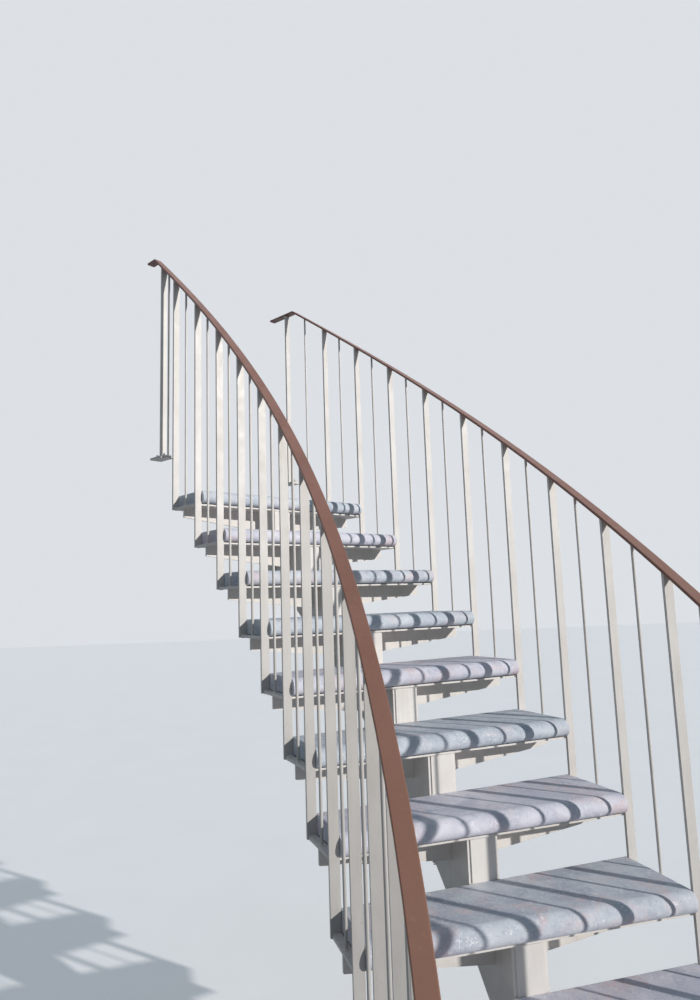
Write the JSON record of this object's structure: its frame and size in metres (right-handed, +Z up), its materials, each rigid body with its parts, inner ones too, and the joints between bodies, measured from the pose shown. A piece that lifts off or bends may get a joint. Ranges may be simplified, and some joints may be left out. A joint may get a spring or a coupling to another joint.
{
  "type": "curved stair",
  "caption": "Curved outdoor stair: stone treads with rounded noses on a saw-tooth steel box spine with tapered gussets, flat and round balusters and helical handrails.",
  "frame": {"origin": "middle of the underside of the spine's base plate, on the ground", "axes": "+Z up, the first step climbs towards +Y, +X is the outer side; the flight curves to the left, towards -X"},
  "size_m": [1.8621, 3.2801, 3.3515],
  "materials": {
    "tread_stone": "honed, mottled blue-grey",
    "cream_steel": "satin cream-white paint, weathered",
    "brown_rail": "satin brown paint, worn"
  },
  "bodies": {
    "root": {"stone_tread_01": "tread_stone", "stone_tread_02": "tread_stone", "stone_tread_03": "tread_stone", "stone_tread_04": "tread_stone", "stone_tread_05": "tread_stone", "stone_tread_06": "tread_stone", "stone_tread_07": "tread_stone", "stone_tread_08": "tread_stone", "stone_tread_09": "tread_stone", "stone_tread_10": "tread_stone", "stone_tread_11": "tread_stone", "tread_carrier_01": "cream_steel", "tread_carrier_02": "cream_steel", "tread_carrier_03": "cream_steel", "tread_carrier_04": "cream_steel", "tread_carrier_05": "cream_steel", "tread_carrier_06": "cream_steel", "tread_carrier_07": "cream_steel", "tread_carrier_08": "cream_steel", "tread_carrier_09": "cream_steel", "tread_carrier_10": "cream_steel", "tread_carrier_11": "cream_steel", "spine_step_01": "cream_steel", "spine_step_02": "cream_steel", "spine_step_03": "cream_steel", "spine_step_04": "cream_steel", "spine_step_05": "cream_steel", "spine_step_06": "cream_steel", "spine_step_07": "cream_steel", "spine_step_08": "cream_steel", "spine_step_09": "cream_steel", "spine_step_10": "cream_steel", "spine_step_11": "cream_steel", "spine_base_plate": "cream_steel", "spine_top_flange": "cream_steel", "inner_flat_bars": "cream_steel", "outer_flat_bars": "cream_steel", "inner_rods": "cream_steel", "outer_rods": "cream_steel", "inner_handrail": "brown_rail", "outer_handrail": "brown_rail", "inner_baluster_feet": "cream_steel", "outer_baluster_feet": "cream_steel", "inner_rail_end": "brown_rail", "outer_rail_end": "brown_rail"}
  },
  "joints": []
}
